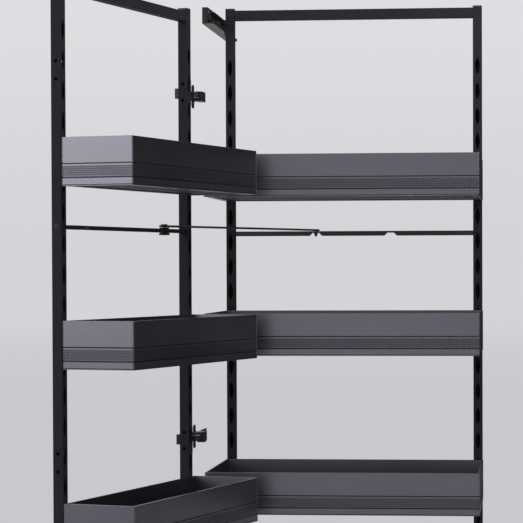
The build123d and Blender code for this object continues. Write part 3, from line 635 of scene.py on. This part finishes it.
studio = {
    "wall": (0.735, 0.73, 0.755), "wallRise": (0.0, 0.13), "horizon": (0.66, 0.66, 0.685),
    "ground": (0.585, 0.583, 0.615), "groundFade": (6, 36), "ambient": (0.5, 0.5, 0.51),
    "floorColour": (0.62, 0.63, 0.65), "floorShade": (0.56, 0.57, 0.59), "shadeScale": 3,
    "floorDrop": 0.075, "floorHalf": 40, "fade": (1.2, 3.0)}


# 1 for rays from the camera, mirror rays and rays through glass, which see the pale background
def seenDirectly(surface):
    rays = [surface.node("ShaderNodeLightPath", output=name)
            for name in ("Is Camera Ray", "Is Glossy Ray", "Is Transmission Ray")]
    return surface.rise(rays[0] + rays[1] + rays[2], 0, 1)


def makeWorld():
    world = bpy.data.worlds.new("studio")
    bpy.context.scene.world = world
    surface = Surface(world)
    slope = surface.node("ShaderNodeSeparateXYZ",
                         inputs={0: surface.node("ShaderNodeTexCoord", output="Generated")}, output=2)
    backdrop = surface.mixed(surface.rise(slope, *studio["wallRise"]), studio["horizon"],
                             studio["wall"])
    colour = surface.mixed(seenDirectly(surface), studio["ambient"], backdrop)
    surface.close(surface.node("ShaderNodeBackground", inputs={"Color": colour}),
                  "ShaderNodeOutputWorld")


# The floor near the part takes its shadow, and farther off it goes over into the pale background
def makeFloor():
    shape = bmesh.new()
    level = cadBox[0][2] - studio["floorDrop"]
    bmesh.ops.create_grid(shape, x_segments=4, y_segments=4, size=studio["floorHalf"],
                          matrix=Matrix.Translation((0, 0, level)))
    finish, surface = newSurface("paleFloor")
    newObject("floor", shape, finish)
    flat = surface.node("ShaderNodeVectorMath", {"operation": "MULTIPLY"},
                        {0: surface.place(), 1: (1, 1, 0)})
    away = surface.node("ShaderNodeVectorMath", {"operation": "LENGTH"}, {0: flat}, "Value")
    colour = surface.mixed(surface.noise(studio["shadeScale"]), studio["floorShade"],
                           studio["floorColour"])
    lit = surface.node("ShaderNodeBsdfDiffuse", inputs={"Color": colour})
    ground = surface.mixed(surface.rise(away, *studio["groundFade"]), studio["ground"],
                           studio["horizon"])
    plain = surface.node("ShaderNodeEmission", inputs={"Color": ground})
    factor = surface.rise(away, *studio["fade"]) * seenDirectly(surface)
    surface.close(surface.node("ShaderNodeMixShader", inputs={0: factor, 1: lit, 2: plain}))


lamps = {
    "keyLight": {"place": (-2.75, -3.35, 1.2), "aim": (0.1, -0.35, 0.2), "size": (2.4, 2.2),
                 "power": 74, "colour": (1, 1, 1)},
    "rightLight": {"place": (3.9, -1.4, 0.7), "aim": (0, -0.5, 0), "size": (1.8, 2.2),
                   "power": 18, "colour": (1, 1, 1)},
    "highLight": {"place": (1.15, -0.8, 1.35), "aim": (0.45, -0.1, 0.3), "size": (0.8, 0.8),
                  "power": 20, "colour": (1, 1, 1)},
    "stripLight": {"place": (-0.1, -5.0, -0.25), "aim": (0.25, -0.3, -0.1), "size": (1.4, 2.2),
                   "power": 12, "colour": (1, 1, 1)},
    "topLight": {"place": (0.2, -0.6, 3.4), "aim": (0.2, -0.4, 0), "size": (2.6, 2.6),
                 "power": 40, "colour": (1, 1, 1)},
    "backLight": {"place": (-1.7, 3.2, 1.8), "aim": (0.2, -0.3, 0), "size": (2.4, 2),
                  "power": 30, "colour": (1, 1, 1)},
}


# A black card behind on the right, which only mirror rays see
card = {"place": (2.3, 2.0, 0.1), "aim": (-0.1, -0.6, 0), "size": (2.6, 2.0),
        "colour": (0.01, 0.01, 0.012)}


def makeCard():
    toward = Vector(card["aim"]) - Vector(card["place"])
    shape = bmesh.new()
    bmesh.ops.create_grid(shape, x_segments=2, y_segments=2, size=1)
    bmesh.ops.scale(shape, vec=(*card["size"], 1), verts=shape.verts)
    bmesh.ops.transform(shape, matrix=facing(card["place"], toward), verts=shape.verts)
    finish, surface = newSurface("blackCard")
    surface.close(surface.node("ShaderNodeBsdfDiffuse", inputs={"Color": (*card["colour"], 1)}))
    flag = newObject("blackCard", shape, finish)
    flag.visible_camera = False
    flag.visible_diffuse = False
    flag.visible_shadow = False


def makeLamps():
    for name, values in lamps.items():
        lamp = bpy.data.lights.new(name, "AREA")
        lamp.shape = "RECTANGLE"
        lamp.size, lamp.size_y = values["size"]
        lamp.energy = values["power"]
        lamp.color = values["colour"]
        holder = bpy.data.objects.new(name, lamp)
        toward = Vector(values["aim"]) - Vector(values["place"])
        holder.matrix_world = facing(values["place"], toward, "-Z")
        holder.visible_camera = False
        bpy.context.scene.collection.objects.link(holder)


# Places and distances in metres, turns in radians, the lens and the sensor in millimetres
camera = {"place": (0.63763, -4.42950, 0.12819), "left": 0.08656, "down": 0.0204,
          "roll": -0.00318, "lens": 151.2, "sensor": 36, "shift": (-0.15, 0.10), "farthest": 200}


def makeCamera():
    lens = bpy.data.cameras.new("camera")
    lens.lens = camera["lens"]
    lens.sensor_width = camera["sensor"]
    lens.shift_x, lens.shift_y = camera["shift"]
    lens.clip_end = camera["farthest"]
    holder = bpy.data.objects.new("camera", lens)
    bpy.context.scene.collection.objects.link(holder)
    yaw, pitch, roll = camera["left"], -camera["down"], camera["roll"]
    right = Vector((cos(yaw), sin(yaw), 0))
    ahead = Vector((-sin(yaw) * cos(pitch), cos(yaw) * cos(pitch), sin(pitch)))
    up = right.cross(ahead)
    turnedRight = right * cos(roll) + up * sin(roll)
    turnedUp = up * cos(roll) - right * sin(roll)
    axes = Matrix((turnedRight, turnedUp, -ahead)).transposed().to_4x4()
    holder.matrix_world = Matrix.Translation(camera["place"]) @ axes
    bpy.context.scene.camera = holder


makeWorld()
makeFloor()
makeCard()
makeLamps()
makeCamera()
bpy.context.scene.view_settings.view_transform = "Standard"
print("studio, lamps and camera")
